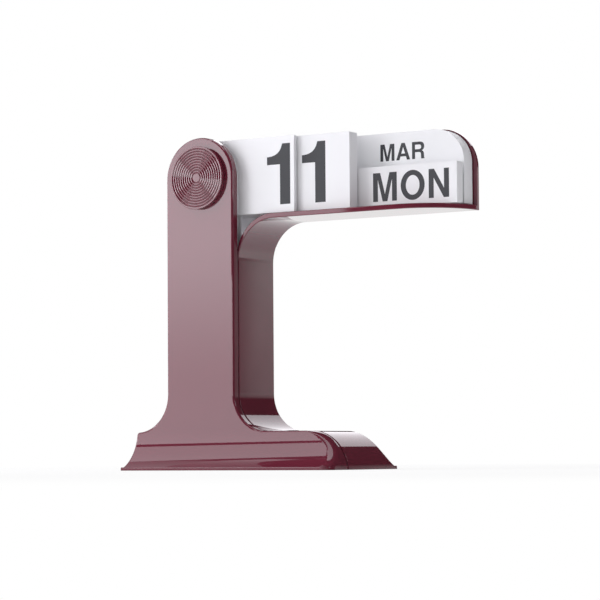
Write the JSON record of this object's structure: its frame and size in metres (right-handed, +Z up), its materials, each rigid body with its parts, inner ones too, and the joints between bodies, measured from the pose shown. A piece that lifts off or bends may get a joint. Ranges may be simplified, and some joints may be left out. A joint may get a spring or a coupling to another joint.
{
  "type": "perpetual desk calendar",
  "caption": "C-shaped moulded stand with a ribbed pivot knob; number, weekday and month cards lie along its tray-like arm and swing over the top to hang inside the hollow column.",
  "frame": {"origin": "on the desk under the middle of the bounding box", "axes": "+X along the arm, +Y from the front panel to the rear panel, +Z up"},
  "size_m": [0.1784, 0.0628, 0.165],
  "materials": {
    "burgundy_abs": "high-gloss moulded ABS",
    "card_pvc": "satin white PVC sheet, printed in dark grey",
    "nylon": "natural nylon",
    "screw_steel": "zinc-plated steel"
  },
  "bodies": {
    "stand": {"front_shell": "burgundy_abs", "rear_shell": "burgundy_abs", "shell_screws": "screw_steel"},
    "pivot": {"pivot_axle": "burgundy_abs", "front_knob": "burgundy_abs", "rear_knob": "burgundy_abs", "front_spacer": "nylon", "middle_washer": "nylon", "rear_washer": "nylon"},
    "tens_card_0": {"tens_card_0": "card_pvc"},
    "tens_card_1": {"tens_card_1": "card_pvc"},
    "tens_card_2": {"tens_card_2": "card_pvc"},
    "tens_card_3": {"tens_card_3": "card_pvc"},
    "units_card_0": {"units_card_0": "card_pvc"},
    "units_card_1": {"units_card_1": "card_pvc"},
    "units_card_2": {"units_card_2": "card_pvc"},
    "units_card_3": {"units_card_3": "card_pvc"},
    "units_card_4": {"units_card_4": "card_pvc"},
    "units_card_5": {"units_card_5": "card_pvc"},
    "units_card_6": {"units_card_6": "card_pvc"},
    "units_card_7": {"units_card_7": "card_pvc"},
    "units_card_8": {"units_card_8": "card_pvc"},
    "units_card_9": {"units_card_9": "card_pvc"},
    "day_card_mon": {"day_card_mon": "card_pvc"},
    "day_card_tue": {"day_card_tue": "card_pvc"},
    "day_card_wed": {"day_card_wed": "card_pvc"},
    "day_card_thu": {"day_card_thu": "card_pvc"},
    "day_card_fri": {"day_card_fri": "card_pvc"},
    "day_card_sat": {"day_card_sat": "card_pvc"},
    "day_card_sun": {"day_card_sun": "card_pvc"},
    "month_card_jan": {"month_card_jan": "card_pvc"},
    "month_card_feb": {"month_card_feb": "card_pvc"},
    "month_card_mar": {"month_card_mar": "card_pvc"},
    "month_card_apr": {"month_card_apr": "card_pvc"},
    "month_card_may": {"month_card_may": "card_pvc"},
    "month_card_jun": {"month_card_jun": "card_pvc"},
    "month_card_jul": {"month_card_jul": "card_pvc"},
    "month_card_aug": {"month_card_aug": "card_pvc"},
    "month_card_sep": {"month_card_sep": "card_pvc"},
    "month_card_oct": {"month_card_oct": "card_pvc"},
    "month_card_nov": {"month_card_nov": "card_pvc"},
    "month_card_dec": {"month_card_dec": "card_pvc"}
  },
  "joints": [
    {"name": "pivot_turn", "type": "hinge", "parent": "stand", "child": "pivot", "pos_m": [-0.05, 0, 0.1448], "axis": [0, -1, 0], "continuous": true},
    {"name": "tens_card_0_swing", "type": "hinge", "parent": "stand", "child": "tens_card_0", "pos_m": [-0.05, 0, 0.1448], "axis": [0, -1, 0], "range_deg": [-270, 0]},
    {"name": "tens_card_1_swing", "type": "hinge", "parent": "stand", "child": "tens_card_1", "pos_m": [-0.05, 0, 0.1448], "axis": [0, -1, 0], "range_deg": [0, 270]},
    {"name": "tens_card_2_swing", "type": "hinge", "parent": "stand", "child": "tens_card_2", "pos_m": [-0.05, 0, 0.1448], "axis": [0, -1, 0], "range_deg": [0, 270]},
    {"name": "tens_card_3_swing", "type": "hinge", "parent": "stand", "child": "tens_card_3", "pos_m": [-0.05, 0, 0.1448], "axis": [0, -1, 0], "range_deg": [0, 270]},
    {"name": "units_card_0_swing", "type": "hinge", "parent": "stand", "child": "units_card_0", "pos_m": [-0.05, 0, 0.1448], "axis": [0, -1, 0], "range_deg": [-270, 0]},
    {"name": "units_card_1_swing", "type": "hinge", "parent": "stand", "child": "units_card_1", "pos_m": [-0.05, 0, 0.1448], "axis": [0, -1, 0], "range_deg": [0, 270]},
    {"name": "units_card_2_swing", "type": "hinge", "parent": "stand", "child": "units_card_2", "pos_m": [-0.05, 0, 0.1448], "axis": [0, -1, 0], "range_deg": [0, 270]},
    {"name": "units_card_3_swing", "type": "hinge", "parent": "stand", "child": "units_card_3", "pos_m": [-0.05, 0, 0.1448], "axis": [0, -1, 0], "range_deg": [0, 270]},
    {"name": "units_card_4_swing", "type": "hinge", "parent": "stand", "child": "units_card_4", "pos_m": [-0.05, 0, 0.1448], "axis": [0, -1, 0], "range_deg": [0, 270]},
    {"name": "units_card_5_swing", "type": "hinge", "parent": "stand", "child": "units_card_5", "pos_m": [-0.05, 0, 0.1448], "axis": [0, -1, 0], "range_deg": [0, 270]},
    {"name": "units_card_6_swing", "type": "hinge", "parent": "stand", "child": "units_card_6", "pos_m": [-0.05, 0, 0.1448], "axis": [0, -1, 0], "range_deg": [0, 270]},
    {"name": "units_card_7_swing", "type": "hinge", "parent": "stand", "child": "units_card_7", "pos_m": [-0.05, 0, 0.1448], "axis": [0, -1, 0], "range_deg": [0, 270]},
    {"name": "units_card_8_swing", "type": "hinge", "parent": "stand", "child": "units_card_8", "pos_m": [-0.05, 0, 0.1448], "axis": [0, -1, 0], "range_deg": [0, 270]},
    {"name": "units_card_9_swing", "type": "hinge", "parent": "stand", "child": "units_card_9", "pos_m": [-0.05, 0, 0.1448], "axis": [0, -1, 0], "range_deg": [0, 270]},
    {"name": "day_card_mon_swing", "type": "hinge", "parent": "stand", "child": "day_card_mon", "pos_m": [-0.05, 0, 0.1448], "axis": [0, -1, 0], "range_deg": [0, 270]},
    {"name": "day_card_tue_swing", "type": "hinge", "parent": "stand", "child": "day_card_tue", "pos_m": [-0.05, 0, 0.1448], "axis": [0, -1, 0], "range_deg": [0, 270]},
    {"name": "day_card_wed_swing", "type": "hinge", "parent": "stand", "child": "day_card_wed", "pos_m": [-0.05, 0, 0.1448], "axis": [0, -1, 0], "range_deg": [0, 270]},
    {"name": "day_card_thu_swing", "type": "hinge", "parent": "stand", "child": "day_card_thu", "pos_m": [-0.05, 0, 0.1448], "axis": [0, -1, 0], "range_deg": [0, 270]},
    {"name": "day_card_fri_swing", "type": "hinge", "parent": "stand", "child": "day_card_fri", "pos_m": [-0.05, 0, 0.1448], "axis": [0, -1, 0], "range_deg": [0, 270]},
    {"name": "day_card_sat_swing", "type": "hinge", "parent": "stand", "child": "day_card_sat", "pos_m": [-0.05, 0, 0.1448], "axis": [0, -1, 0], "range_deg": [0, 270]},
    {"name": "day_card_sun_swing", "type": "hinge", "parent": "stand", "child": "day_card_sun", "pos_m": [-0.05, 0, 0.1448], "axis": [0, -1, 0], "range_deg": [0, 270]},
    {"name": "month_card_jan_swing", "type": "hinge", "parent": "stand", "child": "month_card_jan", "pos_m": [-0.05, 0, 0.1448], "axis": [0, -1, 0], "range_deg": [-270, 0]},
    {"name": "month_card_feb_swing", "type": "hinge", "parent": "stand", "child": "month_card_feb", "pos_m": [-0.05, 0, 0.1448], "axis": [0, -1, 0], "range_deg": [-270, 0]},
    {"name": "month_card_mar_swing", "type": "hinge", "parent": "stand", "child": "month_card_mar", "pos_m": [-0.05, 0, 0.1448], "axis": [0, -1, 0], "range_deg": [0, 270]},
    {"name": "month_card_apr_swing", "type": "hinge", "parent": "stand", "child": "month_card_apr", "pos_m": [-0.05, 0, 0.1448], "axis": [0, -1, 0], "range_deg": [0, 270]},
    {"name": "month_card_may_swing", "type": "hinge", "parent": "stand", "child": "month_card_may", "pos_m": [-0.05, 0, 0.1448], "axis": [0, -1, 0], "range_deg": [0, 270]},
    {"name": "month_card_jun_swing", "type": "hinge", "parent": "stand", "child": "month_card_jun", "pos_m": [-0.05, 0, 0.1448], "axis": [0, -1, 0], "range_deg": [0, 270]},
    {"name": "month_card_jul_swing", "type": "hinge", "parent": "stand", "child": "month_card_jul", "pos_m": [-0.05, 0, 0.1448], "axis": [0, -1, 0], "range_deg": [0, 270]},
    {"name": "month_card_aug_swing", "type": "hinge", "parent": "stand", "child": "month_card_aug", "pos_m": [-0.05, 0, 0.1448], "axis": [0, -1, 0], "range_deg": [0, 270]},
    {"name": "month_card_sep_swing", "type": "hinge", "parent": "stand", "child": "month_card_sep", "pos_m": [-0.05, 0, 0.1448], "axis": [0, -1, 0], "range_deg": [0, 270]},
    {"name": "month_card_oct_swing", "type": "hinge", "parent": "stand", "child": "month_card_oct", "pos_m": [-0.05, 0, 0.1448], "axis": [0, -1, 0], "range_deg": [0, 270]},
    {"name": "month_card_nov_swing", "type": "hinge", "parent": "stand", "child": "month_card_nov", "pos_m": [-0.05, 0, 0.1448], "axis": [0, -1, 0], "range_deg": [0, 270]},
    {"name": "month_card_dec_swing", "type": "hinge", "parent": "stand", "child": "month_card_dec", "pos_m": [-0.05, 0, 0.1448], "axis": [0, -1, 0], "range_deg": [0, 270]}
  ]
}
